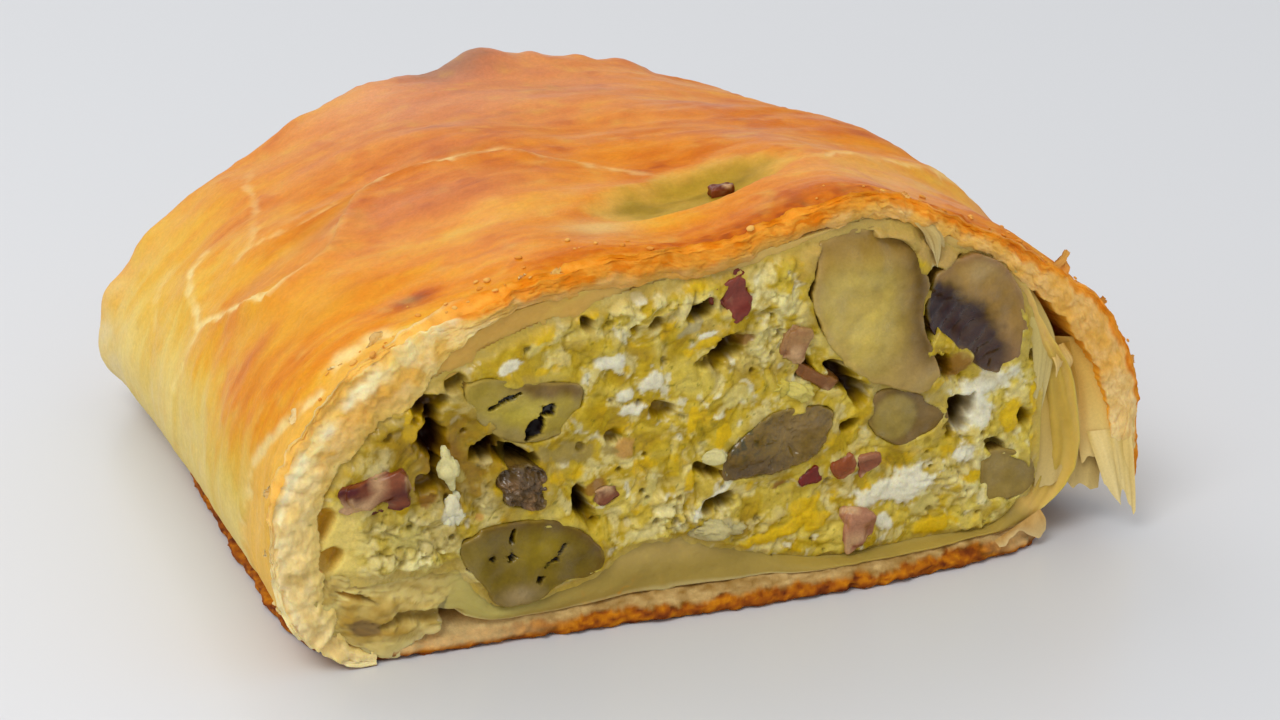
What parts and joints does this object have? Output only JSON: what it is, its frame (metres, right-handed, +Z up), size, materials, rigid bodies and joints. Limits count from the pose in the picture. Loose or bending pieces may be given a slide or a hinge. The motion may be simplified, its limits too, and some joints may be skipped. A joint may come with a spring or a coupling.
{
  "type": "mushroom puff pastry pie",
  "caption": "End piece of a baked puff pastry roll, cut across to show its scrambled egg filling with mushroom slices and diced bacon.",
  "frame": {"origin": "middle of the box of the whole piece, on its flat underside", "axes": "+Z up, +Y along the roll from the cut face to the closed end, +X to the right as one looks at the cut face"},
  "size_m": [0.1114, 0.101, 0.0488],
  "materials": {
    "pastry": "glazed, baked golden brown",
    "egg": "moist",
    "mushroom": "moist",
    "bacon": "moist"
  },
  "bodies": {
    "root": {"pastry_crust": "pastry", "egg_filling": "egg", "mushroom_large_slice": "mushroom", "mushroom_gilled_cap": "mushroom", "mushroom_left_half": "mushroom", "mushroom_low_slice": "mushroom", "mushroom_wet_slice": "mushroom", "mushroom_stem": "mushroom", "mushroom_right_end": "mushroom", "mushroom_dark_bit": "mushroom", "bacon_top": "bacon", "bacon_left": "bacon", "bacon_floor": "bacon", "bacon_centre": "bacon", "bacon_round": "bacon", "bacon_orange": "bacon", "bacon_pink": "bacon", "bacon_pale": "bacon", "bacon_strip": "bacon", "bacon_in_slash": "bacon"}
  },
  "joints": []
}
